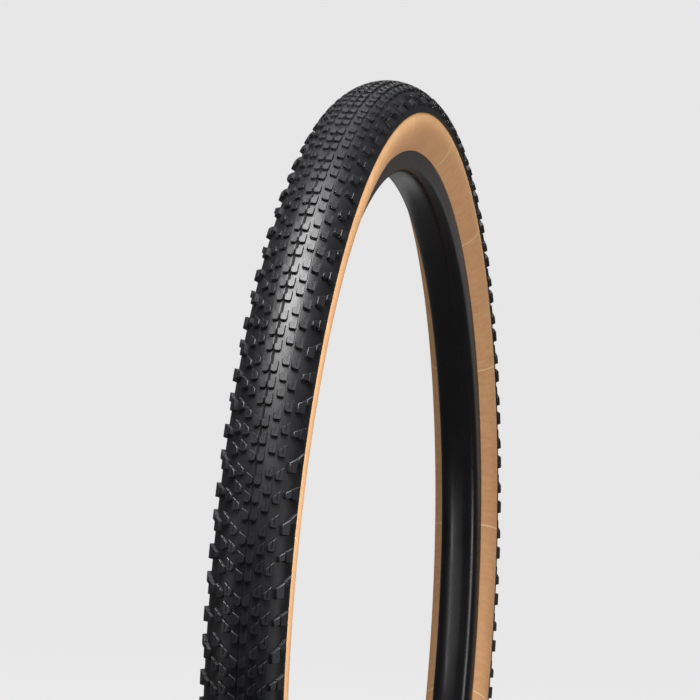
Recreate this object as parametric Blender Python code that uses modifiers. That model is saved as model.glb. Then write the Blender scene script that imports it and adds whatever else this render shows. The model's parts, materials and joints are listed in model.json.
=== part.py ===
"""A knobbly gravel tire, 47-622, mounted on a plain rim with a tubeless valve.

The wheel's centre is the origin, the axle runs along Y and the valve is at the bottom, pointing up
at the axle. A section point is (across, out): its distance from the wheel's middle plane and its
distance from the axle. Left is +Y and right is -Y.
"""

from math import cos, floor, pi, radians, sin

import bpy

MM = 0.001

# Ring facets. A flat facet, not an edge, lies at the bottom, where the valve seats.
RING_STEPS = 40
RING_TURN = pi / RING_STEPS
FLAT = cos(RING_TURN)
SMALL_STEPS = 20

# Driving sizes, in millimetres
GAP = 0.3
BEAD_SEAT_R = 311.0
FLANGE_R = 317.2
RIM_INNER_R = 302.2
RIM_HALF_WIDTH = 14.85
FLANGE_INSIDE = 12.5
WELL_HALF_WIDTH = 6.0
WELL_R = 307.9
SECTION_R = 335.5
WALL_RHO = 23.3
CROWN_R = 362.4
TREAD_HALF_WIDTH = 24.0
GROUND_HALF_WIDTH = 3.2
SHOULDER_R = 342.2

# Thicknesses of the layers, from the outside in
SKIN_T = 0.7
PLY_T = 0.45
LINER_T = 0.3
CHAFER_T = 0.5
TAPE_T = 0.3

# Angles from the crown, in degrees: the layers' ends, and the step between their shared corners
ARC_END = 130.0
ARC_STEP = 32.5
BELT_END = 50.0
SKIN_START = 54.0
TREAD_END = 73.6

BEAD_ACROSS = 9.45
BEAD_OUT = 314.8
BEAD_CORE_R = 1.2

# Valve, measured from the axle along the valve's own axis
STEM_R = 3.0
STEM_BORE_R = 1.95
STEM_TOP = 262.0
FOOT_TOP = 312.4
CORE_R = 1.65
CORE_BORE_R = 0.95
CORE_BOTTOM = 275.0
CORE_TOP = 259.5
PIN_R = 0.6
PIN_TOP = 253.5
PIN_TRAVEL = 2.0
CAP_R = 4.3
CAP_OPEN_END = 268.0
CAP_TOP = 248.0
CAP_WALL = 0.9

COLORS = {
    "tread_rubber": ((0.018, 0.018, 0.019), 0.55, 0.0),
    "tan_rubber": ((0.46, 0.27, 0.12), 0.6, 0.0),
    "belt_fabric": ((0.55, 0.47, 0.2), 0.8, 0.0),
    "casing_fabric": ((0.3, 0.25, 0.18), 0.85, 0.0),
    "liner_rubber": ((0.04, 0.04, 0.042), 0.6, 0.0),
    "bead_cord": ((0.62, 0.5, 0.22), 0.6, 0.0),
    "black_rubber": ((0.03, 0.03, 0.03), 0.6, 0.0),
    "chafer_fabric": ((0.1, 0.09, 0.08), 0.9, 0.0),
    "black_anodised": ((0.02, 0.02, 0.022), 0.3, 0.6),
    "tape_film": ((0.62, 0.55, 0.2), 0.4, 0.0),
    "brass": ((0.6, 0.43, 0.16), 0.3, 1.0),
    "black_plastic": ((0.025, 0.025, 0.025), 0.45, 0.0),
}


def clear_scene():
    for leftover in list(bpy.data.objects):
        bpy.data.objects.remove(leftover, do_unlink=True)


def new_collection(name, rendered=True):
    collection = bpy.data.collections.new(name)
    collection.hide_render = not rendered
    bpy.context.scene.collection.children.link(collection)
    return collection


def material(name):
    found = bpy.data.materials.get(name)
    if found:
        return found
    color, roughness, metallic = COLORS[name]
    made = bpy.data.materials.new(name)
    made.use_nodes = True
    shader = made.node_tree.nodes["Principled BSDF"]
    shader.inputs["Base Color"].default_value = (*color, 1)
    shader.inputs["Roughness"].default_value = roughness
    shader.inputs["Metallic"].default_value = metallic
    made.diffuse_color = (*color, 1)
    return made


def on_layer(rho, degrees):
    """A point of a layer's faceted section. The layers share their corners' angles, so they stay parallel."""
    middle = (floor(degrees / ARC_STEP) + 0.5) * ARC_STEP
    reach = rho * cos(radians(ARC_STEP / 2)) / cos(radians(degrees - middle))
    turn = radians(degrees)
    return (reach * sin(turn), SECTION_R + reach * cos(turn))


def arc(rho, start, end):
    """The round part of a layer, from one angle to a larger one."""
    corners = [k * ARC_STEP for k in range(-4, 5)]
    inner = [angle for angle in corners if start + 1 < angle < end - 1]
    return [on_layer(rho, angle) for angle in (start, *inner, end)]


def mirrored(points):
    """The same points on the other side of the middle plane, in the opposite order."""
    return [(-across, out) for across, out in reversed(points)]


def strip(path, thickness):
    """A closed outline that follows a path at half the thickness on each side of it."""
    left = []
    right = []
    for i, (across, out) in enumerate(path):
        before = path[max(i - 1, 0)]
        after = path[min(i + 1, len(path) - 1)]
        normals = []
        for start, end in ((before, path[i]), (path[i], after)):
            run = (end[0] - start[0], end[1] - start[1])
            length = (run[0] ** 2 + run[1] ** 2) ** 0.5
            if length > 0:
                normals.append((-run[1] / length, run[0] / length))
        first, last = normals[0], normals[-1]
        stretch = thickness / (1 + first[0] * last[0] + first[1] * last[1])
        shift = ((first[0] + last[0]) * stretch / 2, (first[1] + last[1]) * stretch / 2)
        left.append((across + shift[0], out + shift[1]))
        right.append((across - shift[0], out - shift[1]))
    return left + right[::-1]


def clockwise(outline):
    """The outline in the order that leaves a turned shape with its faces pointing out."""
    ends = zip(outline, outline[1:] + outline[:1])
    area = sum(a[0] * b[1] - b[0] * a[1] for a, b in ends)
    return outline if area > 0 else outline[::-1]


def loops_object(name, loops, slot):
    """An object whose mesh is one closed wire for each loop of points, in the XY plane."""
    points = []
    edges = []
    for loop in loops:
        first = len(points)
        count = len(loop)
        points += [(out * MM, across * MM, 0) for across, out in loop]
        edges += [(first + i, first + (i + 1) % count) for i in range(count)]
    mesh = bpy.data.meshes.new(name)
    mesh.from_pydata(points, edges, [])
    made = bpy.data.objects.new(name, mesh)
    made.data.materials.append(material(slot))
    PARTS.objects.link(made)
    return made


def add_screw(target, steps):
    turn = target.modifiers.new("turn", "SCREW")
    turn.axis = "Y"
    turn.angle = 2 * pi
    turn.steps = steps
    turn.render_steps = steps
    turn.use_merge_vertices = True
    turn.merge_threshold = 0.00001


def ring(name, outline, slot, holes=()):
    """A ring turned about the axle from its section's outline, with closed hollows inside it."""
    loops = [clockwise(outline)] + [clockwise(hole)[::-1] for hole in holes]
    made = loops_object(name, loops, slot)
    made.rotation_euler = (0, RING_TURN, 0)
    add_screw(made, RING_STEPS)
    return made


def turned_on_valve(name, outline, slot):
    """A small piece turned about the valve's axis. An outline point is (radius, distance from the axle)."""
    points = clockwise([(-from_axle, radius) for radius, from_axle in outline])
    made = loops_object(name, [points], slot)
    made.rotation_euler = (pi / 2, 0, 0)
    add_screw(made, SMALL_STEPS)
    return made


def cut(target, cutter):
    hole = target.modifiers.new("valve_hole", "BOOLEAN")
    hole.operation = "DIFFERENCE"
    hole.solver = "EXACT"
    hole.object = cutter


def valve_hole_cutter():
    middle = (RIM_INNER_R + BEAD_SEAT_R) / 2 * MM
    bpy.ops.mesh.primitive_cylinder_add(
        vertices=SMALL_STEPS,
        radius=(STEM_R + GAP) * MM,
        depth=2 * (BEAD_SEAT_R - RIM_INNER_R) * MM,
        location=(0, 0, -middle),
    )
    cutter = bpy.context.active_object
    cutter.name = "valve_hole_cutter"
    cutter.display_type = "WIRE"
    for holder in list(cutter.users_collection):
        holder.objects.unlink(cutter)
    CUTTERS.objects.link(cutter)
    return cutter


def tread_cap():
    """The black rubber, turned to the height of its knobs, with a flat band that meets the ground."""
    crown = [
        (GROUND_HALF_WIDTH, CROWN_R),
        (6.4, CROWN_R - 0.7),
        (11.2, CROWN_R - 2.2),
        (16.4, CROWN_R - 5.0),
        (20.4, CROWN_R - 8.6),
        (23.2, CROWN_R - 12.8),
        (TREAD_HALF_WIDTH, CROWN_R - 17.0),
        (TREAD_HALF_WIDTH - 0.3, SHOULDER_R),
    ]
    inside = arc(WALL_RHO + GAP, -TREAD_END, TREAD_END)[::-1]
    ring("tread_cap", [*crown, *inside, *mirrored(crown)], "tread_rubber")


def puncture_belt():
    middle = WALL_RHO - SKIN_T / 2
    ring("puncture_belt", strip(arc(middle, -BELT_END, BELT_END), SKIN_T - 0.2), "belt_fabric")


def sidewall_skins():
    """The tan rubber from under the edge of the tread down to the rim's flange."""
    path = arc(WALL_RHO - SKIN_T / 2, SKIN_START, ARC_END) + [(RIM_HALF_WIDTH + 0.25, FLANGE_R + 0.65)]
    outline = strip(path, SKIN_T)
    ring("sidewall_left", outline, "tan_rubber")
    ring("sidewall_right", mirrored(outline), "tan_rubber")


def casing_plies():
    """The outer ply stops at the flange. The inner ply wraps round both bead cores."""
    outer_rho = WALL_RHO - SKIN_T - GAP - PLY_T / 2
    foot = [(14.2, FLANGE_R + 1.8)]
    path = mirrored(foot) + arc(outer_rho, -ARC_END, ARC_END) + foot
    ring("casing_outer_ply", strip(path, PLY_T), "casing_fabric")

    inside = BEAD_ACROSS - BEAD_CORE_R - GAP - PLY_T / 2
    outside = BEAD_ACROSS + BEAD_CORE_R + GAP + PLY_T / 2
    under = BEAD_OUT - BEAD_CORE_R - GAP - PLY_T / 2
    wrap = [
        (inside + 0.5, BEAD_OUT + 2.4),
        (inside, BEAD_OUT + 1.2),
        (inside, under),
        (outside, under),
        (outside, BEAD_OUT + 2.4),
    ]
    arc_part = arc(outer_rho - PLY_T - GAP, -ARC_END, ARC_END)
    ring("casing_inner_ply", strip(mirrored(wrap) + arc_part + wrap, PLY_T), "casing_fabric")


def air_liner():
    rho = WALL_RHO - SKIN_T - 3 * GAP - 2 * PLY_T - LINER_T / 2
    inside = BEAD_ACROSS - BEAD_CORE_R - 2 * GAP - PLY_T - LINER_T / 2
    foot = [(inside + 0.4, BEAD_OUT + 3.3), (inside, BEAD_OUT + 1.5), (inside, BEAD_OUT - 1.6)]
    path = mirrored(foot) + arc(rho, -ARC_END, ARC_END) + foot
    ring("air_liner", strip(path, LINER_T), "liner_rubber")


def beads():
    """The cord bundles that grip the rim, and the rubber strips that fill the fold above them."""
    corners = [radians(60 * k) for k in range(6)]
    core = [
        (BEAD_ACROSS + BEAD_CORE_R * cos(turn), BEAD_OUT + BEAD_CORE_R * sin(turn))
        for turn in corners
    ]
    filler = [
        (BEAD_ACROSS - 0.55, BEAD_OUT + 1.5),
        (BEAD_ACROSS + 1.15, BEAD_OUT + 1.5),
        (BEAD_ACROSS + 1.15, BEAD_OUT + 2.7),
        (BEAD_ACROSS + 3.4, BEAD_OUT + 4.1),
        (BEAD_ACROSS - 0.15, BEAD_OUT + 2.2),
    ]
    ring("bead_core_left", core, "bead_cord")
    ring("bead_core_right", mirrored(core), "bead_cord")
    ring("bead_filler_left", filler, "black_rubber")
    ring("bead_filler_right", mirrored(filler), "black_rubber")


def chafers():
    """The woven strips that guard the beads from the rim."""
    against_flange = FLANGE_INSIDE - GAP - CHAFER_T / 2
    path = [
        (RIM_HALF_WIDTH - 0.6, FLANGE_R + GAP + CHAFER_T / 2),
        (against_flange + 0.2, FLANGE_R + GAP + CHAFER_T / 2),
        (against_flange, FLANGE_R - 0.4),
        (against_flange, BEAD_OUT - 2.5),
        (BEAD_ACROSS - 1.2, BEAD_OUT - 2.5),
    ]
    outline = strip(path, CHAFER_T)
    ring("chafer_left", outline, "chafer_fabric")
    ring("chafer_right", mirrored(outline), "chafer_fabric")


def rim(cutter):
    """A double-walled rim: two flanges, the bead seats, the well, and a hollow that the valve hole opens."""
    half = [
        (WELL_HALF_WIDTH, WELL_R),
        (WELL_HALF_WIDTH + 1.5, BEAD_SEAT_R + 0.2),
        (WELL_HALF_WIDTH + 2.4, BEAD_SEAT_R - 0.2),
        (FLANGE_INSIDE, BEAD_SEAT_R),
        (FLANGE_INSIDE, FLANGE_R - 0.3),
        (FLANGE_INSIDE + 0.5, FLANGE_R),
        (RIM_HALF_WIDTH - 0.4, FLANGE_R),
        (RIM_HALF_WIDTH, FLANGE_R - 0.4),
        (RIM_HALF_WIDTH - 1.25, RIM_INNER_R + 5.8),
        (RIM_HALF_WIDTH - 2.25, RIM_INNER_R + 3.2),
        (RIM_HALF_WIDTH - 4.65, RIM_INNER_R + 1.2),
        (RIM_HALF_WIDTH - 9.2, RIM_INNER_R),
    ]
    hollow = [
        (WELL_HALF_WIDTH + 0.4, WELL_R - 1.3),
        (WELL_HALF_WIDTH + 1.9, BEAD_SEAT_R - 1.7),
        (RIM_HALF_WIDTH - 2.95, BEAD_SEAT_R - 1.7),
        (RIM_HALF_WIDTH - 4.25, RIM_INNER_R + 3.0),
        (RIM_HALF_WIDTH - 9.2, RIM_INNER_R + 1.4),
    ]
    made = ring("rim", half + mirrored(half), "black_anodised", [hollow + mirrored(hollow)])
    cut(made, cutter)


def rim_tape(cutter):
    """The tape that seals the well and runs out under both beads."""
    lift = GAP + TAPE_T / 2
    half = [
        (WELL_HALF_WIDTH - lift, WELL_R + lift),
        (WELL_HALF_WIDTH + 1.3, BEAD_SEAT_R + 0.2 + lift),
        (FLANGE_INSIDE - 1.2, BEAD_SEAT_R + 0.05 + lift),
    ]
    made = ring("rim_tape", strip(mirrored(half) + half, TAPE_T), "tape_film")
    cut(made, cutter)


def valve():
    """The tubeless valve: rubber foot, stem, seal, lock nut, and the core with its pin and nut."""
    foot_bottom = (WELL_R + GAP + TAPE_T) * FLAT + GAP
    foot = [(STEM_R + GAP, foot_bottom), (5.0, foot_bottom), (5.0, foot_bottom + 1.5),
            (4.0, FOOT_TOP), (STEM_R + GAP, FOOT_TOP)]
    turned_on_valve("valve_foot", foot, "black_rubber")

    stem = [(STEM_BORE_R, STEM_TOP), (STEM_R, STEM_TOP), (STEM_R, FOOT_TOP + GAP),
            (3.8, FOOT_TOP + GAP), (3.8, FOOT_TOP + 1.2), (STEM_BORE_R, FOOT_TOP + 1.2)]
    turned_on_valve("valve_stem", stem, "brass")

    seal_top = RIM_INNER_R * FLAT - GAP
    seal_middle = 4.4
    seal_r = 0.9
    seal = [
        (seal_middle + seal_r * cos(pi * k / 4), seal_top - seal_r * (1 + sin(pi * k / 4)))
        for k in range(8)
    ]
    turned_on_valve("valve_seal_ring", seal, "black_rubber")

    nut_low = seal_top - 2 * seal_r - GAP
    nut_high = nut_low - 3.4
    nut = [(STEM_R + GAP, nut_low), (5.6, nut_low), (6.0, nut_low - 0.4),
           (6.0, nut_high + 0.4), (5.6, nut_high), (STEM_R + GAP, nut_high)]
    turned_on_valve("valve_lock_nut", nut, "black_anodised")


def valve_core():
    head = CORE_TOP + 2.2
    core = [(CORE_BORE_R, CORE_TOP), (2.4, CORE_TOP), (2.4, head), (CORE_R, head),
            (CORE_R, CORE_BOTTOM), (CORE_BORE_R, CORE_BOTTOM)]
    turned_on_valve("valve_core", core, "brass")

    poppet = CORE_BOTTOM + GAP
    pin = [(0, PIN_TOP), (PIN_R, PIN_TOP), (PIN_R, poppet), (1.4, poppet),
           (1.4, poppet + 1.1), (0, poppet + 1.1)]
    turned_on_valve("valve_core_pin", pin, "brass")

    nut_bottom = CORE_TOP - GAP - PIN_TRAVEL
    nut_bore = PIN_R + GAP
    nut_top = nut_bottom - 2.0
    nut = [(nut_bore, nut_bottom), (1.9, nut_bottom), (1.9, nut_top), (nut_bore, nut_top)]
    turned_on_valve("valve_core_nut", nut, "brass")


def valve_cap():
    inside = STEM_R + GAP
    cap = [(0, CAP_TOP), (CAP_R - 1.4, CAP_TOP), (CAP_R - 0.4, CAP_TOP + 1.2), (CAP_R, CAP_OPEN_END),
           (inside, CAP_OPEN_END), (inside - 0.3, CAP_TOP + 5.0), (inside - 1.0, CAP_TOP + CAP_WALL + 1.0),
           (0, CAP_TOP + CAP_WALL + 1.0)]
    turned_on_valve("valve_cap", cap, "black_plastic")


clear_scene()
PARTS = new_collection("gravel_tire")
CUTTERS = new_collection("cutters", rendered=False)

tread_cap()
puncture_belt()
sidewall_skins()
casing_plies()
air_liner()
beads()
chafers()
hole = valve_hole_cutter()
rim(hole)
rim_tape(hole)
valve()
valve_core()
valve_cap()
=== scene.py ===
# %% [markdown]
# # A gravel tire on its rim
# The CAD model is the fixed frame: it has every piece in its real place, but its rings are
# faceted and its tread is a plain band. Here the visible pieces are remade smooth and detailed,
# and every piece, seen or hidden, gets its finish.
#
# Sizes are in millimetres and become metres where a piece is made. The axle is the Y axis, and
# the left side is +Y. A place on the tire's round section is an angle from the crown, and a place
# round the wheel is an angle from +X towards +Z.

import json
from math import atan2, cos, degrees, pi, radians, sin

import bmesh
import bpy
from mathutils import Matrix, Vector


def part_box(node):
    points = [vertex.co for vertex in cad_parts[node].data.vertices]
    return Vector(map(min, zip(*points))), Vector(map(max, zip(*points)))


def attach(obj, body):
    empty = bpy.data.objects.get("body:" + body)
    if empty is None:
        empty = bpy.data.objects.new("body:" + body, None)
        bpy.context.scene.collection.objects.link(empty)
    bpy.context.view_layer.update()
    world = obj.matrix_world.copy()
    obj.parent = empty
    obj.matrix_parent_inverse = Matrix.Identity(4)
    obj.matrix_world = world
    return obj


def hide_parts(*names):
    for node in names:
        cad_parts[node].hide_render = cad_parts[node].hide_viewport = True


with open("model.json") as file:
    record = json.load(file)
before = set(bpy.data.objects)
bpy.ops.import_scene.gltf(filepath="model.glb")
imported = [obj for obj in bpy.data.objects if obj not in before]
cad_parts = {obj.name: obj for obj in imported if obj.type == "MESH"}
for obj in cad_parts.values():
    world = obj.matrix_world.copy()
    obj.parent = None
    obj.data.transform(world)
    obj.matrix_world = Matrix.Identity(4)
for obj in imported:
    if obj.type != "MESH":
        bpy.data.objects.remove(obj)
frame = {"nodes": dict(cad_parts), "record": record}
for leftover in ("Cube", "Light", "Camera"):
    if leftover in bpy.data.objects:
        bpy.data.objects.remove(bpy.data.objects[leftover], do_unlink=True)
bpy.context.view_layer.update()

MM = 0.001
print("nodes:", len(frame["nodes"]))

# %% [markdown]
# ## Sizes that the frame gives
# The CAD rings have 40 flat facets, and a facet lies at the top and at the bottom. A smooth ring
# through the facets' corners is larger than the box by one over the cosine of half a facet, so
# each true radius is read from its node's box.

# %% Read the true radii
FACETS = 40
FLAT = cos(pi / FACETS)


def true_radius(node):
    """The outer radius, in millimetres, of the smooth ring that a faceted node stands for."""
    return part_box(node)[1].z / FLAT / MM


CROWN_R = true_radius("tread_cap")
FLANGE_R = true_radius("rim")
RIM_HALF_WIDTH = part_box("rim")[1].y / MM
SECTION_R = 335.5
WALL_RHO = 23.3
TREAD_END = 73.6
RIM_INNER_R = FLANGE_R - 15.0
print(f"crown {CROWN_R:.1f}, flange {FLANGE_R:.1f}, rim half width {RIM_HALF_WIDTH:.2f} mm")

# %% [markdown]
# ## The camera
# A long lens stands well back at the near side of the wheel and a little above it, so the tread
# fills the near edge and the tan wall curves away behind it. The camera is placed, then turned
# so that it looks at a point inside the top of the wheel.

# %% Place the camera
CAMERA_AT = Vector((-2.09363, -0.45482, 0.66227))
LOOKS_AT = Vector((-0.0646, 0.0, 0.2041))
LENS = 174.56

bpy.ops.object.camera_add(location=CAMERA_AT)
camera = bpy.context.active_object
camera.name = "camera"
camera.rotation_euler = (LOOKS_AT - CAMERA_AT).to_track_quat("-Z", "Y").to_euler()
camera.data.sensor_width = 36
camera.data.lens = LENS
bpy.context.scene.camera = camera
print("camera", round((LOOKS_AT - CAMERA_AT).length, 3), "m away")

# %% [markdown]
# ## Floor and light
# A studio shot of black rubber needs a pale room and one large soft light overhead: the room
# fills the tan wall evenly, and the overhead light runs a broad gleam down the crown and catches
# the edges of the knobs. A weaker light on the right fills the wall. The floor is kept out of
# mirror reflections, as a black sweep would be, so that the gloss of the black parts stays dark.

# %% Make the floor, the room and the lights
FLOOR_SIZE = 80
FLOOR_GAP = 0.6

bpy.ops.mesh.primitive_plane_add(size=FLOOR_SIZE, location=(0, 0, -(CROWN_R + FLOOR_GAP) * MM))
floor = bpy.context.active_object
floor.name = "floor"
floor.visible_glossy = False

ROOM_LIGHT = 0.135


def soft_light(name, place, aim, width, height, watts, spread=180):
    """A rectangular light that points at a place. A small spread keeps it off the floor behind."""
    bpy.ops.object.light_add(type="AREA", location=place)
    light = bpy.context.active_object
    light.name = name
    light.data.shape = "RECTANGLE"
    light.data.size = width
    light.data.size_y = height
    light.data.energy = watts
    light.data.spread = radians(spread)
    way = Vector(aim) - Vector(place)
    light.rotation_euler = way.to_track_quat("-Z", "Y").to_euler()
    light.visible_camera = False
    return light


soft_light("overhead", (-0.3, -0.1, 1.75), (-0.3, 0, 0.3), 1.1, 1.8, 32, 58)
soft_light("right_side", (-0.95, -1.35, 1.0), (-0.1, 0, 0.3), 0.9, 0.9, 0.8, 70)
wall_light = soft_light("wall_light", (-0.75, -0.64, 0.42), (-0.15, 0, 0.2), 0.4, 0.5, 4.5, 110)
tread_strips = [
    soft_light("tread_strip_right", (-0.45, -1.15, 0.2), (-0.35, 0, 0.05), 0.26, 0.7, 2.7),
    soft_light("tread_strip_left", (-0.95, 0.97, 0.35), (-0.35, 0, 0.05), 0.26, 0.8, 2.4),
    soft_light("tread_back", (1.2, 0.3, 1.5), (-0.1, 0, 0.33), 1.2, 1.2, 4.0),
    soft_light("tread_front", (-2.0, -0.35, 0.75), (-0.05, 0, 0.36), 0.2, 0.2, 0.22, 12),
]
rim_lights = [
    soft_light("rim_strip_right", (-0.4, -0.93, 0.0), (0.3, 0, -0.08), 0.28, 0.75, 6.5),
    soft_light("rim_strip_left", (-0.83, 0.37, 0.05), (0.3, 0, -0.08), 0.12, 0.9, 3.4),
    soft_light("rim_far", (1.3, -0.55, -0.15), (0.1, 0, 0.2), 0.3, 0.3, 0.08),
    soft_light("rim_low", (0.95, 0.3, -0.28), (0.1, 0, 0.28), 0.35, 0.35, 0.13),
]

room = bpy.data.worlds.new("room")
bpy.context.scene.world = room
room.use_nodes = True
room.node_tree.nodes["Background"].inputs["Color"].default_value = (1, 1, 1, 1)
room.node_tree.nodes["Background"].inputs["Strength"].default_value = ROOM_LIGHT
bpy.context.scene.view_settings.view_transform = "Standard"
print("room", ROOM_LIGHT)

# %% [markdown]
# ## Finishes
# A finish is a small graph of nodes. It reads Object coordinates, which stay with the piece, and
# gives the shader a colour, a roughness and a bump that vary at the scale of the real surface.
# Each helper below adds one kind of node.

# %% Node helpers


class Finish:
    """One material and the few kinds of node that its pattern is made from."""

    def __init__(self, name):
        self.made = bpy.data.materials.new(name)
        self.made.use_nodes = True
        self.tree = self.made.node_tree
        self.shader = self.tree.nodes["Principled BSDF"]
        self.place = self.tree.nodes.new("ShaderNodeTexCoord").outputs["Object"]

    def set(self, **values):
        for socket, value in values.items():
            self.shader.inputs[socket.replace("_", " ")].default_value = value

    def give(self, socket, output):
        self.tree.links.new(output, self.shader.inputs[socket])

    def node(self, kind, inputs, **settings):
        made = self.tree.nodes.new(kind)
        for name, value in settings.items():
            setattr(made, name, value)
        for socket, value in inputs.items():
            if hasattr(value, "links"):
                self.tree.links.new(value, made.inputs[socket])
            else:
                made.inputs[socket].default_value = value
        return made

    def math(self, operation, first, second=0.0):
        return self.node("ShaderNodeMath", {0: first, 1: second}, operation=operation).outputs[0]

    def noise(self, scale, detail=3.0, where=None):
        inputs = {"Vector": where or self.place, "Scale": scale, "Detail": detail}
        return self.node("ShaderNodeTexNoise", inputs).outputs["Fac"]

    def span(self, value, low, high, to_low=0.0, to_high=1.0):
        inputs = {"Value": value, "From Min": low, "From Max": high}
        inputs |= {"To Min": to_low, "To Max": to_high}
        return self.node("ShaderNodeMapRange", inputs).outputs["Result"]

    def colours(self, value, *colours):
        """A ramp from the first colour to the last."""
        ramp = self.node("ShaderNodeValToRGB", {"Fac": value})
        stops = ramp.color_ramp.elements
        while len(stops) < len(colours):
            stops.new(1.0)
        for i, colour in enumerate(colours):
            stops[i].position = i / (len(colours) - 1)
            stops[i].color = (*colour, 1)
        return ramp.outputs["Color"]

    def mixed(self, amount, first, second):
        """A blend of two colours. A Mix node's sockets 0, 6 and 7 are its factor and colours."""
        inputs = {0: amount, 6: first, 7: second}
        return self.node("ShaderNodeMix", inputs, data_type="RGBA").outputs[2]

    def bump(self, height, distance, strength=1.0):
        inputs = {"Height": height, "Distance": distance, "Strength": strength}
        self.give("Normal", self.node("ShaderNodeBump", inputs).outputs["Normal"])

    def round_the_wheel(self):
        """How far a point is round the wheel, in turns, and from the axle and across, in metres."""
        axes = self.node("ShaderNodeSeparateXYZ", {0: self.place}).outputs
        turn = self.math("ARCTAN2", axes[2], axes[0])
        squares = [self.math("MULTIPLY", axis, axis) for axis in (axes[0], axes[2])]
        from_axle = self.math("SQRT", self.math("ADD", *squares))
        return self.math("DIVIDE", turn, 2 * pi), from_axle, axes[1]


# %% [markdown]
# ### Black tread rubber
# Moulded rubber is near black with a slight bloom and a fine grain from the mould. The mould
# polishes the knobs' tops and the ground between them. The knobs' sides are duller, and their
# paler grey is painted fill light. The groove on the crown gets the darkest colour, which is
# painted shade in the groove. So four finishes share one recipe.

# %% Mix the tread rubbers


def tread_rubber(name, dark, pale, rough_low, rough_high, specular):
    rubber = Finish(name)
    cloud = rubber.noise(55, 4)
    grain = rubber.noise(2600, 2)
    rubber.give("Base Color", rubber.colours(cloud, dark, dark, pale))
    rubber.give("Roughness", rubber.span(cloud, 0.3, 0.7, rough_low, rough_high))
    rubber.set(Specular_IOR_Level=specular)
    rubber.bump(grain, 0.00006, 0.5)
    return rubber.made


knob_rubber = tread_rubber(
    "knob_rubber", (0.0042, 0.0042, 0.0052), (0.0095, 0.0095, 0.011), 0.34, 0.44, 0.24)
# The sides' paler grey is painted fill light; their duller gloss is real.
knob_sides_painted_fill = tread_rubber(
    "knob_sides_painted_fill", (0.01, 0.01, 0.011), (0.017, 0.017, 0.0183), 0.5, 0.65, 0.2)
# The groove's darkest colour is painted shade in the recess.
groove_painted_shade = tread_rubber(
    "groove_painted_shade", (0.003, 0.003, 0.0035), (0.007, 0.007, 0.0075), 0.6, 0.75, 0.1)
ground_rubber = tread_rubber(
    "ground_rubber", (0.0036, 0.0036, 0.0046), (0.0085, 0.0085, 0.01), 0.34, 0.46, 0.24)
tread_finishes = (knob_rubber, knob_sides_painted_fill, groove_painted_shade, ground_rubber)
print("tread finishes:", [finish.name for finish in tread_finishes])

# %% [markdown]
# ### Tan sidewall
# The wall is a skin of tan rubber over crossed threads. The threads show as a faint slanting
# weave, the colour drifts a little, and a thin pale line crosses the wall where two pieces of the
# casing meet. A paler band along the wall's outer edge, just under the tread, is a painted sheen.
# The pattern is measured round the wheel, so that it follows the wall.

# %% Mix the tan rubber
SPLICES = 16
SPLICE_LEAN = 2.8
SPLICE_START = 0.70
THREADS = 2400
THREAD_LEAN = 2.1
# The paler colour near the tread edge is a painted sheen.
SHEEN_FROM, SHEEN_TO = 0.330, 0.342
PAINTED_SHEEN_EDGE = (0.44, 0.29, 0.15, 1)
DUST = (0.2, 0.096, 0.043, 1)
SPLICE_COLOUR = (0.52, 0.36, 0.2, 1)

tan = Finish("tan_rubber")
turns, from_axle, across = tan.round_the_wheel()
drift = tan.noise(14, 5)
speckle = tan.noise(700, 3)
thread_turns = tan.math("MULTIPLY", turns, 2 * pi * THREADS)
leaning = []
for way in (1, -1):
    lean = tan.math("MULTIPLY", from_axle, way * 2 * pi * THREADS / THREAD_LEAN)
    leaning.append(tan.math("SINE", tan.math("ADD", thread_turns, lean)))
weave = tan.math("MULTIPLY", tan.math("ADD", *leaning), 0.25)
splice_lean = tan.math("MULTIPLY", from_axle, SPLICE_LEAN)
slanted = tan.math("ADD", tan.math("MULTIPLY", turns, SPLICES), splice_lean)
phase = tan.math("FRACT", tan.math("ADD", slanted, SPLICE_START))
from_splice = tan.math("ABSOLUTE", tan.math("SUBTRACT", phase, 0.5))
splice = tan.span(from_splice, 0.0025, 0.006, 1.0, 0.0)
along_threads = tan.node("ShaderNodeCombineXYZ", {
    0: tan.math("ADD", tan.math("MULTIPLY", turns, 760), tan.math("MULTIPLY", from_axle, 135)),
    1: tan.math("MULTIPLY", from_axle, 90), 2: tan.math("MULTIPLY", across, 90)}).outputs[0]
streaks = tan.noise(1, 4, along_threads)
tone = tan.math("ADD", tan.math("MULTIPLY", drift, 0.45), tan.math("MULTIPLY", streaks, 0.55))
woven_tone = tan.math("ADD", tone, tan.math("MULTIPLY", weave, 0.06))
base = tan.colours(tan.span(woven_tone, 0.25, 0.75),
                   (0.27, 0.139, 0.063), (0.333, 0.179, 0.086), (0.395, 0.222, 0.115))
# Blend in the painted sheen along the outer edge of the wall.
base = tan.mixed(tan.span(from_axle, SHEEN_FROM, SHEEN_TO, 0.0, 0.35), base, PAINTED_SHEEN_EDGE)
dusty = tan.mixed(tan.span(speckle, 0.58, 0.75, 0.0, 0.25), base, DUST)
tan.give("Base Color", tan.mixed(tan.math("MULTIPLY", splice, 0.6), dusty, SPLICE_COLOUR))
tan.give("Roughness", tan.span(drift, 0.3, 0.7, 0.7, 0.84))
tan.set(Specular_IOR_Level=0.06)
relief = tan.math("ADD", tan.math("MULTIPLY", weave, 0.5), tan.math("MULTIPLY", streaks, 1.3))
rough_relief = tan.math("ADD", relief, tan.math("MULTIPLY", speckle, 0.4))
tan.bump(tan.math("ADD", rough_relief, splice), 0.00006, 0.7)
tan_rubber = tan.made
print("tan finish with", SPLICES, "splices a side")

# %% [markdown]
# ### Black rim
# The rim is aluminium, anodised black. Polishing leaves faint marks round the hoop, and handling
# leaves soft patches that shine a little less.

# %% Mix the rim's black


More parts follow.
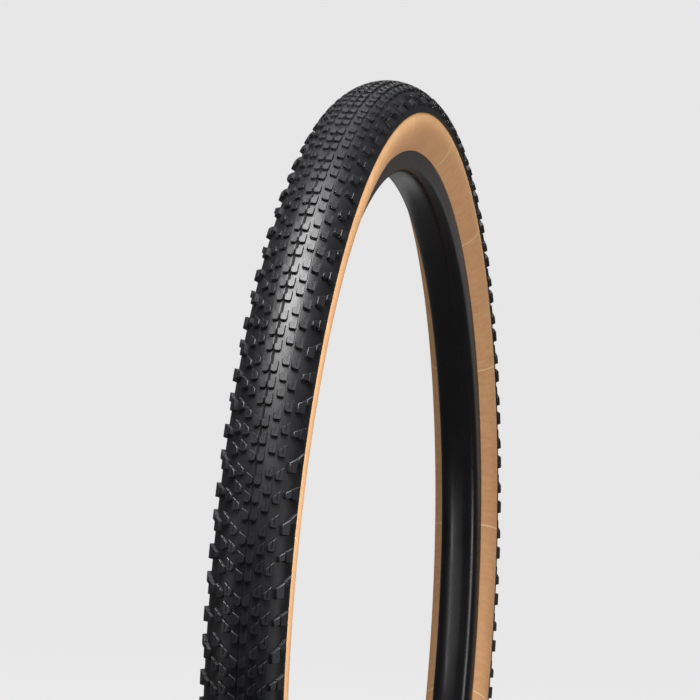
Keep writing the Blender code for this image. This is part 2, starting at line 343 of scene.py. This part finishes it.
def anodised(name, colour, rough_low, rough_high, specular):
    metal = Finish(name)
    turns, from_axle, across = metal.round_the_wheel()
    lines = metal.noise(1, 3, metal.node("ShaderNodeCombineXYZ", {
        0: metal.math("MULTIPLY", turns, 30), 1: metal.math("MULTIPLY", from_axle, 5000),
        2: metal.math("MULTIPLY", across, 5000)}).outputs[0])
    patches = metal.noise(30, 4)
    metal.give("Base Color", metal.colours(patches, colour, tuple(1.7 * part for part in colour)))
    marks = metal.math("ADD", metal.math("MULTIPLY", lines, 0.35),
                       metal.math("MULTIPLY", patches, 0.65))
    metal.give("Roughness", metal.span(marks, 0.35, 0.65, rough_low, rough_high))
    metal.set(Specular_IOR_Level=specular)
    metal.bump(lines, 0.00001, 0.4)
    return metal.made


rim_black = anodised("rim_black", (0.002, 0.002, 0.0024), 0.2, 0.3, 0.25)
nut_black = anodised("nut_black", (0.012, 0.012, 0.014), 0.25, 0.38, 0.5)
print("rim finish:", rim_black.name)

# %% [markdown]
# ### Hidden layers and the valve
# Cloth layers are threads side by side, so a sine across them makes the colour and the bump. The
# layers differ in how fast the threads run round the wheel and across it. Brass, plastic and the
# small rubbers have patches and a fine grain, which is shallowest on the brass.

# %% Mix the cloth, cord, brass, plastic and rubber


def cloth(name, dark, pale, round_count, across_count, rough):
    """Threads that run round_count times round the wheel and across_count times in a metre."""
    made = Finish(name)
    turns, from_axle, across = made.round_the_wheel()
    sideways = made.math("ADD", across, from_axle)
    run = made.math("ADD", made.math("MULTIPLY", turns, 2 * pi * round_count),
                    made.math("MULTIPLY", sideways, 2 * pi * across_count))
    thread = made.span(made.math("SINE", run), -1, 1)
    fibre = made.noise(1500, 3)
    tone = made.math("ADD", made.math("MULTIPLY", thread, 0.7), made.math("MULTIPLY", fibre, 0.3))
    made.give("Base Color", made.colours(tone, dark, pale))
    made.give("Roughness", made.span(fibre, 0.3, 0.7, rough - 0.08, rough + 0.08))
    made.bump(tone, 0.00012, 0.6)
    return made.made


def grained(name, dark, pale, rough_low, rough_high, scale=900, metallic=0.0, depth=0.00003):
    """Patches of two tones under a fine grain. The depth is the grain's, in metres."""
    made = Finish(name)
    patches = made.noise(120, 4)
    grain = made.noise(scale, 3)
    made.give("Base Color", made.colours(patches, dark, pale))
    made.give("Roughness", made.span(grain, 0.3, 0.7, rough_low, rough_high))
    made.set(Metallic=metallic)
    made.bump(grain, depth, 0.4)
    return made.made


FINISHES = {
    "tread_rubber": ground_rubber,
    "tan_rubber": tan_rubber,
    "black_anodised": nut_black,
    "belt_fabric": cloth("belt_fabric", (0.36, 0.27, 0.07), (0.62, 0.5, 0.2), 1500, 900, 0.75),
    "casing_fabric": cloth("casing_fabric", (0.2, 0.15, 0.09), (0.38, 0.31, 0.21), 2000, 1000, 0.85),
    "chafer_fabric": cloth("chafer_fabric", (0.05, 0.045, 0.04), (0.14, 0.12, 0.1), 1700, 0, 0.85),
    "bead_cord": cloth("bead_cord", (0.42, 0.3, 0.09), (0.68, 0.54, 0.24), 500, 800, 0.6),
    "liner_rubber": grained("liner_rubber", (0.03, 0.03, 0.032), (0.05, 0.05, 0.053), 0.5, 0.65),
    "black_rubber": grained("black_rubber", (0.018, 0.018, 0.018), (0.032, 0.032, 0.032), 0.5, 0.65),
    "tape_film": grained("tape_film", (0.5, 0.42, 0.12), (0.66, 0.58, 0.22), 0.3, 0.42, 300),
    "brass": grained("brass", (0.55, 0.38, 0.13), (0.66, 0.49, 0.2), 0.3, 0.42, 1400, 1.0, 0.000006),
    "black_plastic": grained("black_plastic", (0.016, 0.016, 0.017), (0.026, 0.026, 0.027), 0.36, 0.5),
}

slots = {part["node"]: part["material_slot"] for part in frame["record"]["subparts"]}
for name, node in frame["nodes"].items():
    for slot in node.material_slots:
        slot.material = FINISHES[slots[name]]
print("finishes:", len(FINISHES))

# %% [markdown]
# ### Pale floor
# A studio sweep is lit on its own, so that it stays even behind the object. Here a low emission
# does that, and a dark base colour keeps the lamps from burning a patch into it. The colour drifts
# a little, and what light it does scatter is enough for a soft shadow under the tire.

# %% Finish the floor
FLOOR_GREYS = [(0.065, 0.065, 0.065), (0.075, 0.075, 0.075)]
FLOOR_GLOW = 0.787

pale_floor = Finish("pale_floor")
pale_floor.give("Base Color", pale_floor.colours(pale_floor.noise(3, 2), *FLOOR_GREYS))
pale_floor.set(Roughness=1.0, Specular_IOR_Level=0.0)
pale_floor.set(Emission_Color=(1, 1, 1, 1), Emission_Strength=FLOOR_GLOW)
floor.data.materials.append(pale_floor.made)
print("floor glow", FLOOR_GLOW)

# %% [markdown]
# ## Modelling helpers
# Each piece starts from a primitive and is shaped in edit mode. An operator acts on what is
# selected, so every step first selects vertices, edges or faces by where they are. The object
# itself never leaves the origin: its place is in its mesh.

# %% Edit-mode helpers
KINDS = {"verts": "VERT", "edges": "EDGE", "faces": "FACE"}


def begin(name, add, **settings):
    """A new primitive in edit mode."""
    bpy.ops.object.select_all(action="DESELECT")
    add(**settings)
    piece = bpy.context.active_object
    piece.name = name
    piece.data.name = name
    bpy.ops.object.mode_set(mode="EDIT")
    bpy.ops.mesh.select_mode(type="VERT")
    return piece


def choose(piece, kind, test):
    """Selects the vertices, edges or faces that pass a test, and nothing else."""
    bpy.ops.mesh.select_mode(type=KINDS[kind])
    bpy.ops.mesh.select_all(action="DESELECT")
    mesh = bmesh.from_edit_mesh(piece.data)
    chosen = [part for part in getattr(mesh, kind) if test(part)]
    for part in chosen:
        part.select_set(True)
    mesh.select_flush_mode()
    bmesh.update_edit_mesh(piece.data)
    return len(chosen)


def everything():
    bpy.ops.mesh.select_all(action="SELECT")


def turn(angle, axis, centre=(0, 0, 0)):
    """Turns what is selected, in degrees, counter-clockwise seen from the axis's far end."""
    bpy.ops.transform.rotate(value=-radians(angle), orient_axis=axis, center_override=centre)


def end(piece, body, finish, smooth=35, nodes=()):
    """Leaves edit mode, shades the piece, and says what it rides on and stands for."""
    everything()
    bpy.ops.mesh.normals_make_consistent(inside=False)
    bpy.ops.object.mode_set(mode="OBJECT")
    bpy.ops.object.shade_smooth_by_angle(angle=radians(smooth))
    if finish:
        piece.data.materials.append(finish)
    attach(piece, body)
    if nodes:
        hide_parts(*nodes)
    faces = len(piece.data.polygons)
    print(f"{piece.name}: {faces} faces, rides on {body}")
    return piece


# %% [markdown]
# ## Turned rings
# Most of a wheel is turned: one section swept once round the axle. The section is drawn as a
# wire, one extruded point at a time, and Spin sweeps it. The last step of the spin lands on the
# first, so the doubles are merged and the ring is closed.

# %% Draw a section and spin it
RING_SPIN = 360
MERGE = 2e-6


def draw(name, points):
    """A closed wire through points in metres. It starts as a plane merged to one vertex."""
    piece = begin(name, bpy.ops.mesh.primitive_plane_add, size=MM)
    everything()
    bpy.ops.mesh.merge(type="CENTER")
    bpy.ops.transform.translate(value=points[0])
    for before, after in zip(points, points[1:] + points[:1]):
        step = Vector(after) - Vector(before)
        bpy.ops.mesh.extrude_vertices_move(TRANSFORM_OT_translate={"value": step})
    everything()
    bpy.ops.mesh.remove_doubles(threshold=MERGE)
    return piece


def spin(axis, steps):
    everything()
    bpy.ops.mesh.spin(steps=steps, angle=2 * pi, center=(0, 0, 0), axis=axis)
    everything()
    bpy.ops.mesh.remove_doubles(threshold=MERGE)


def ring(name, outline):
    """A ring about the axle. An outline point is (across, distance from the axle)."""
    piece = draw(name, [(0, across * MM, out * MM) for across, out in outline])
    spin((0, 1, 0), RING_SPIN)
    return piece


def on_section(angle, rho):
    """A point of the tire's section, at an angle from the crown and a distance from its middle."""
    return (rho * sin(radians(angle)), SECTION_R + rho * cos(radians(angle)))


def between(value, table):
    """Reads a table of (place, height) pairs, with straight lines between them."""
    for (start, low), (stop, high) in zip(table, table[1:]):
        if value <= stop:
            return low + (high - low) * (value - start) / (stop - start)
    return table[-1][1]


# %% [markdown]
# ## The tread's ground
# Under the knobs the tread is a thin band of rubber. It has a narrow groove along the crown, a few
# fine mould lines beside it, and thins out where it laps over the tan wall. All of these
# run round the wheel, so they belong in the section, and one spin makes the lot.

# %% Turn the tread's ground
GROUND = [(0, 25.4), (20, 25.4), (32, 25.3), (50, 25.15), (62, 24.9), (70, 24.35), (TREAD_END, 23.9)]
LINES = [(0, 1.5, -0.5), (12.2, 0.3, 0.03), (25, 0.3, 0.03), (38.5, 0.3, 0.03)]
LINE_SHAPE = [(-0.8, 0), (-0.5, 0), (-0.2, 1), (0.2, 1), (0.5, 0), (0.8, 0)]


def ground_rho(angle):
    return between(abs(angle), GROUND)


half = [(2.6 + 2.84 * k, 0.0) for k in range(25)]
for angle, width, height in LINES:
    wide = degrees(width / ground_rho(angle))
    half = [(place, lift) for place, lift in half if abs(place - angle) > 1.4 * wide]
    half += [(angle + share * wide, height * lift) for share, lift in LINE_SHAPE
             if angle + share * wide > 0]
half = sorted(half + [(TREAD_END - 1.2, 0.0), (TREAD_END, 0.0)])
top = [on_section(angle, ground_rho(angle) + lift) for angle, lift in half]
under = [on_section(6.0 * k, WALL_RHO + 0.06) for k in range(12)]
under += [on_section(TREAD_END, WALL_RHO + 0.04)]
left = top + under[:0:-1]
outline = left + [under[0]] + [(-across, out) for across, out in left[::-1]]
tread_ground = ring("tread_ground", outline)
# The groove's faces get the rubber with the painted shade.
for finish in (ground_rubber, groove_painted_shade):
    tread_ground.data.materials.append(finish)
GROOVE_HALF = 0.7
choose(tread_ground, "faces", lambda face: abs(face.calc_center_median().y) < GROOVE_HALF * MM)
tread_ground.active_material_index = 1
bpy.ops.object.material_slot_assign()
tread = [end(tread_ground, "wheel", None, 50, ["tread_cap"])]

# %% [markdown]
# ## Knobs
# A knob is a small block: its leading edge is straight and slanted, its trailing corners are
# round, its sides lean in, and its top edge is chamfered so that it catches the light. One knob
# of each kind is shaped at the top of the wheel, tilted to its place on the section, and turned
# to its place round the wheel. Spin with duplicates then copies it, and a mirror makes the other
# side. The knobs of the second and third rows have a sipe, a slot that lets the rubber flex.

# %% Shape one knob
SUNK = 0.5
CHAMFER = 0.18
DRAFT = 0.95
FOOT = 1.07
TOP_TAPER = 0.985
SIPE_DEPTH = 0.9
SIPE_SHARES = (0.42, 0.58)
SIPE_LENGTH = 0.7
CLOSE = 1e-6


def knob(name, corners, top_rho, height, round_by, siped=False):
    """One knob. A corner is (angle round the wheel, angle on the section), in degrees, and they
    come in the order: leading outer, leading inner, trailing inner, trailing outer."""
    middle = [sum(corner[i] for corner in corners) / 4 for i in (0, 1)]
    top = SECTION_R + top_rho
    reach = SECTION_R + top_rho * cos(radians(middle[1]))
    flat = [
        FOOT * Vector((-radians(round_place - middle[0]) * reach,
                       radians(section_place - middle[1]) * top_rho, 0))
        for round_place, section_place in corners
    ]
    cells = {"x_subdivisions": 2 if siped else 1, "y_subdivisions": 3 if siped else 1}
    piece = begin(name, bpy.ops.mesh.primitive_grid_add, size=MM, **cells)
    spots = [vertex.co.copy() for vertex in bmesh.from_edit_mesh(piece.data).verts]
    across_shares = {0: 0.0, 1: SIPE_SHARES[0], 2: SIPE_SHARES[1], 3: 1.0}
    for spot in spots:
        along = 0.5 - spot.x / MM
        share = across_shares[round(3 * (0.5 - spot.y / MM))]
        along = SIPE_LENGTH if 0.2 < along < 0.8 else along
        outer = flat[0].lerp(flat[3], along)
        inner = flat[1].lerp(flat[2], along)
        goal = outer.lerp(inner, share) * MM + Vector((0, 0, (top - height - SUNK) * MM))
        choose(piece, "verts", lambda vertex: (vertex.co - spot).length < CLOSE)
        bpy.ops.transform.translate(value=goal - spot)
    trailing = [flat[2] * MM, flat[3] * MM]
    choose(piece, "verts",
           lambda vertex: any((vertex.co.xy - place.xy).length < CLOSE for place in trailing))
    bpy.ops.mesh.bevel(offset=round_by * MM, segments=2, affect="VERTICES", clamp_overlap=True)
    base = (top - height - SUNK) * MM
    slot_floor = top - SIPE_DEPTH
    everything()
    lift = (0, 0, slot_floor * MM - base)
    bpy.ops.mesh.extrude_region_move(TRANSFORM_OT_translate={"value": lift})
    bpy.ops.transform.resize(value=(DRAFT, DRAFT, 1), center_override=(0, 0, 0))
    middle_cell = (flat[0] + flat[1]).lerp(flat[2] + flat[3], SIPE_LENGTH / 2) * 0.5 * MM

    def raised(face):
        high = face.calc_center_median()
        level = abs(high.z - slot_floor * MM) < CLOSE
        in_slot = siped and (high.xy - middle_cell.xy * DRAFT).length < 0.45 * MM
        return level and not in_slot

    choose(piece, "faces", raised)
    lift = (0, 0, (top - slot_floor) * MM)
    bpy.ops.mesh.extrude_region_move(TRANSFORM_OT_translate={"value": lift})
    bpy.ops.transform.resize(value=(TOP_TAPER, TOP_TAPER, 1), center_override=(0, 0, 0))

    def rim_edge(edge):
        on_top = all(abs(vertex.co.z - top * MM) < CLOSE for vertex in edge.verts)
        return on_top and any(
            abs(face.normal.z) < 0.5 and face.normal.xy.dot(face.calc_center_median().xy) > 0
            for face in edge.link_faces
        )

    choose(piece, "edges", rim_edge)
    bpy.ops.mesh.bevel(offset=CHAMFER * MM, segments=1, affect="EDGES", clamp_overlap=True)
    for finish in (knob_rubber, knob_sides_painted_fill):
        piece.data.materials.append(finish)
    # The steep sides take the rubber whose paler grey is painted fill light.
    choose(piece, "faces", lambda face: abs(face.normal.z) < 0.4)
    piece.active_material_index = 1
    bpy.ops.object.material_slot_assign()
    everything()
    turn(-middle[1], "X", (0, 0, SECTION_R * MM))
    turn(90 - middle[0], "Y")
    return piece


def repeat(piece, phases, count):
    """Copies the knob to each further phase, in degrees, then spins the group round the wheel."""
    everything()
    for phase in phases:
        bpy.ops.mesh.duplicate()
        turn(-phase, "Y")
    everything()
    share = (count - 1) / count
    bpy.ops.mesh.spin(steps=count - 1, angle=2 * pi * share, center=(0, 0, 0), axis=(0, 1, 0),
                      dupli=True)
    bpy.ops.object.mode_set(mode="OBJECT")
    other_side = piece.modifiers.new("other_side", "MIRROR")
    other_side.use_axis = (False, True, False)
    other_side.use_mirror_merge = False
    bpy.ops.object.modifier_apply(modifier="other_side")
    bpy.ops.object.mode_set(mode="EDIT")


# %% [markdown]
# ## The rows
# The two middle rows come in groups of three with a little space after each group. The third row
# is evenly spaced. At the shoulder two kinds of pair take turns: a small outer lug with a large
# inner block, and a large outer block with a small inner lug.

# %% Make the centre row
GROUPS = 66
centre_knob = [(132.56, 9.5), (133.0, 1.2), (133.67, 1.2), (133.67, 9.5)]
centre_knobs = knob("centre_knobs", centre_knob, 26.9, 1.5, 1.3)
repeat(centre_knobs, (1.66, 1.62), GROUPS)
tread.append(end(centre_knobs, "wheel", None, 40))

# %% Make the second row
second_knob = [(131.66, 23.1), (132.25, 14.1), (132.84, 14.1), (132.84, 23.1)]
second_knobs = knob("second_knobs", second_knob, 26.95, 1.6, 0.9, siped=True)
repeat(second_knobs, (1.62, 1.6), GROUPS)
tread.append(end(second_knobs, "wheel", None, 40))

# %% Make the third row
third_knob = [(130.66, 36.0), (131.34, 26.6), (131.92, 26.6), (131.92, 36.0)]
third_knobs = knob("third_knobs", third_knob, 27.1, 1.9, 0.95, siped=True)
repeat(third_knobs, (), 165)
tread.append(end(third_knobs, "wheel", None, 40))

# %% Make the shoulder blocks
SHOULDER_PAIRS = 62
SHOULDER = {
    "shoulder_large_inner": [(152.75, 53), (153.35, 42.5), (154.27, 42.5), (154.15, 53)],
    "shoulder_small_outer": [(152.0, 62), (152.65, 54.2), (153.25, 54.2), (152.95, 61.5)],
    "shoulder_large_outer": [(149.44, 62), (149.92, 51.5), (150.84, 51.5), (150.84, 62)],
    "shoulder_small_inner": [(150.0, 50), (150.38, 42.2), (150.93, 42.2), (150.75, 50)],
}
for name, corners in SHOULDER.items():
    block = knob(name, corners, 27.4, 2.4, 0.7)
    repeat(block, (), SHOULDER_PAIRS)
    tread.append(end(block, "wheel", None, 40))

# %% [markdown]
# ## Tan sidewalls
# A wall is a thin skin on a round section. It starts under the edge of the tread, bulges to the
# tire's widest point and turns in to the rim, where it thickens into the line that the rim's
# flange grips. It is turned once for each side.

# %% Turn the sidewalls
SKIN_T = 0.7


def sidewall(name, node, side):
    outer = [on_section(angle, WALL_RHO) for angle in range(54, 131, 4)]
    foot = [(16.6, FLANGE_R + 2.1), (15.75, FLANGE_R + 1.15),
            (15.25, FLANGE_R + 0.55), (15.0, FLANGE_R + 0.1)]
    inner = [on_section(angle, WALL_RHO - SKIN_T) for angle in range(128, 53, -6)]
    heel = [(14.4, FLANGE_R + 0.1), (14.9, FLANGE_R + 1.4)]
    outline = outer + foot + heel + inner
    wall = ring(name, [(side * across, out) for across, out in outline])
    return end(wall, "wheel", tan_rubber, 60, [node])


tan_walls = [
    sidewall("tan_wall_left", "sidewall_left", 1),
    sidewall("tan_wall_right", "sidewall_right", -1),
]

# %% [markdown]
# ## The rim
# The rim is an extrusion bent into a hoop. Its corners are drawn as a face and rounded with a
# vertex bevel, then the face is taken away and its outline is spun. The valve hole is drilled
# with a Boolean, and the cutter is thrown away.

# %% Turn and drill the rim
WELL = [(6.0, 307.9), (7.5, 311.2), (8.4, 310.8), (12.5, 311.0), (12.5, 316.9), (13.0, FLANGE_R)]
FLANK = [(14.45, FLANGE_R), (RIM_HALF_WIDTH, 316.8),
         (13.6, 308.0), (12.6, 305.4), (10.2, 303.4), (5.65, RIM_INNER_R)]
ROUNDING = {(13.6, 308.0): 1.6, (12.6, 305.4): 1.2, (10.2, 303.4): 1.5, (5.65, RIM_INNER_R): 2.5}

right = WELL + FLANK
outline = right + [(-across, out) for across, out in right[::-1]]
rim = draw("rim_hoop", [(0, across * MM, out * MM) for across, out in outline])
everything()
bpy.ops.mesh.edge_face_add()
for (across, out), size in ROUNDING.items():
    spots = [Vector((0, side * across * MM, out * MM)) for side in (1, -1)]
    choose(rim, "verts", lambda vertex: any((vertex.co - spot).length < CLOSE for spot in spots))
    bpy.ops.mesh.bevel(offset=size * MM, segments=4, affect="VERTICES")
everything()
bpy.ops.mesh.delete(type="ONLY_FACE")
spin((0, 1, 0), RING_SPIN)
everything()
bpy.ops.mesh.normals_make_consistent(inside=False)
bpy.ops.object.mode_set(mode="OBJECT")

HOLE_R = 3.3
bpy.ops.mesh.primitive_cylinder_add(
    vertices=48, radius=HOLE_R * MM, depth=30 * MM, location=(0, 0, -306 * MM))
drill = bpy.context.active_object
bpy.ops.object.select_all(action="DESELECT")
rim.select_set(True)
bpy.context.view_layer.objects.active = rim
hole = rim.modifiers.new("valve_hole", "BOOLEAN")
hole.operation = "DIFFERENCE"
hole.solver = "EXACT"
hole.object = drill
bpy.ops.object.modifier_apply(modifier="valve_hole")
bpy.data.objects.remove(drill, do_unlink=True)
bpy.ops.object.mode_set(mode="EDIT")
end(rim, "wheel", rim_black, 35, ["rim"])

# %% [markdown]
# ### Lights for single pieces
# Two tall strips draw a soft line down each corner of the black hoop, and two weak lamps show its
# inner face and its flank. Two more strips run a low sheen down the tread's shoulders. One lamp
# behind lights the tops of the highest knobs, and a narrow one in front lights their sides. The
# wall light fills the tan walls. Light linking lets a lamp shine on chosen pieces only, so each of
# these can be set without a change to the others.

# %% Link the lights to their pieces


def shine_only_on(lights, pieces):
    lit = bpy.data.collections.new("lit_by_" + lights[0].name)
    for piece in pieces:
        lit.objects.link(piece)
    for light in lights:
        light.light_linking.receiver_collection = lit
    print(f"{len(lights)} lights on {len(pieces)} pieces")


shine_only_on(rim_lights, [rim])
shine_only_on([wall_light], tan_walls)
shine_only_on(tread_strips, tread)

# %% [markdown]
# ## The valve
# The valve's pieces are turned about the valve's own axis, which is vertical at the bottom of the
# wheel. A thread is drawn in the section as a row of ridges. The nuts and the cap are gripped by
# hand, so every second strip of their side is pulled out into a rib.

# %% Valve helpers


def turned(name, outline, steps=48):
    """A piece turned about the valve. An outline point is (radius, distance from the axle)."""
    piece = draw(name, [(radius * MM, 0, -from_axle * MM) for radius, from_axle in outline])
    spin((0, 0, 1), steps)
    return piece


def thread(radius, depth, low, high, pitch):
    """Ridges along a rod, from a larger distance from the axle to a smaller one."""
    points = []
    place = low
    while place - pitch > high:
        points += [(radius, place), (radius, place - 0.25 * pitch)]
        points += [(radius - depth, place - 0.5 * pitch)]
        place -= pitch
    return points


def rib(piece, low, high, radius, ribs, lift):
    """Pulls out every second strip of the side between two distances from the axle."""

    def strip(face):
        middle = face.calc_center_median()
        inside = high < -middle.z / MM < low and abs(face.normal.z) < 0.5
        sector = int(degrees(atan2(middle.y, middle.x)) % 360 / (180 / ribs))
        return inside and middle.xy.length / MM > radius and sector % 2 == 0

    choose(piece, "faces", strip)
    bpy.ops.mesh.extrude_region_shrink_fatten(TRANSFORM_OT_shrink_fatten={"value": lift * MM})


# %% [markdown]
# ### Stem, seal and lock nut
# The stem is a threaded brass tube. A rubber foot inside the rim and a rubber seal outside keep the
# air in, and the knurled lock nut pulls them together. Each outline is the piece's half section.

# %% Make the stem, its seal and its lock nut
stem_outline = [(1.95, 313.9), (3.8, 313.9), (3.8, 312.7), (3.0, 312.7)]
stem_outline += thread(3.0, 0.32, 304.0, 262.6, 0.8) + [(2.6, 262.0), (1.95, 262.0)]
stem = turned("stem", stem_outline, 32)
end(stem, "wheel", FINISHES["brass"], 35, ["valve_stem"])

seal_outline = [(3.15, RIM_INNER_R + 0.05), (5.1, RIM_INNER_R + 0.05), (5.45, RIM_INNER_R - 0.5),
                (5.5, 300.4), (5.2, 299.4), (4.7, 298.95), (3.15, 298.95)]
seal = turned("seal", seal_outline)
end(seal, "wheel", FINISHES["black_rubber"], 50, ["valve_seal_ring"])

nut_outline = [(3.1, 298.8), (5.2, 298.8), (5.75, 298.4), (5.75, 295.9), (5.2, 295.5), (3.1, 295.5)]
lock_nut = turned("lock_nut_knurled", nut_outline, 72)
rib(lock_nut, 298.3, 296.0, 5.0, 36, 0.22)
end(lock_nut, "lock_nut", nut_black, 25, ["valve_lock_nut"])

# %% [markdown]
# ### Core, pin, core nut and cap
# The core screws into the stem and holds the pin, which lets air through when it is pressed. The
# small nut on the pin locks it shut, and the plastic cap keeps dirt out. The cap is drawn with its
# hollow, so that it can lift off over the pin.

# %% Make the core, its pin, its nut and the cap
core_outline = [(0.95, 275), (1.65, 275)] + thread(1.65, 0.15, 269, 262, 0.7)
core_outline += [(1.6, 261.75), (2.25, 261.75), (2.4, 261.55),
                 (2.4, 259.7), (2.25, 259.5), (0.95, 259.5)]
core = turned("core_body", core_outline, 32)
end(core, "wheel", FINISHES["brass"], 35, ["valve_core"])

pin_outline = [(0.02, 276.4), (1.25, 276.4), (1.4, 276.2), (1.4, 275.3), (0.6, 275.3)]
pin_outline += thread(0.6, 0.1, 260.0, 254.2, 0.4) + [(0.45, 253.6), (0.3, 253.5), (0.02, 253.5)]
pin = turned("core_pin_rod", pin_outline, 24)
end(pin, "core_pin", FINISHES["brass"], 35, ["valve_core_pin"])

core_nut_outline = [(0.9, 257.2), (1.6, 257.2), (1.75, 257.05),
                    (1.75, 255.35), (1.6, 255.2), (0.9, 255.2)]
core_nut = turned("core_nut_knurled", core_nut_outline, 40)
rib(core_nut, 257.0, 255.4, 1.4, 20, 0.12)
end(core_nut, "core_nut", FINISHES["brass"], 25, ["valve_core_nut"])

cap_outline = [(3.3, 268), (4.15, 268), (4.3, 267.8), (4.0, 249.6), (3.6, 248.6), (2.9, 248.1),
               (0.02, 248.0), (0.02, 249.9), (2.3, 249.9), (3.0, 253), (3.3, 256)]
cap = turned("cap_ribbed", cap_outline, 48)
rib(cap, 267.5, 250.0, 3.5, 12, 0.25)
end(cap, "cap", FINISHES["black_plastic"], 30, ["valve_cap"])
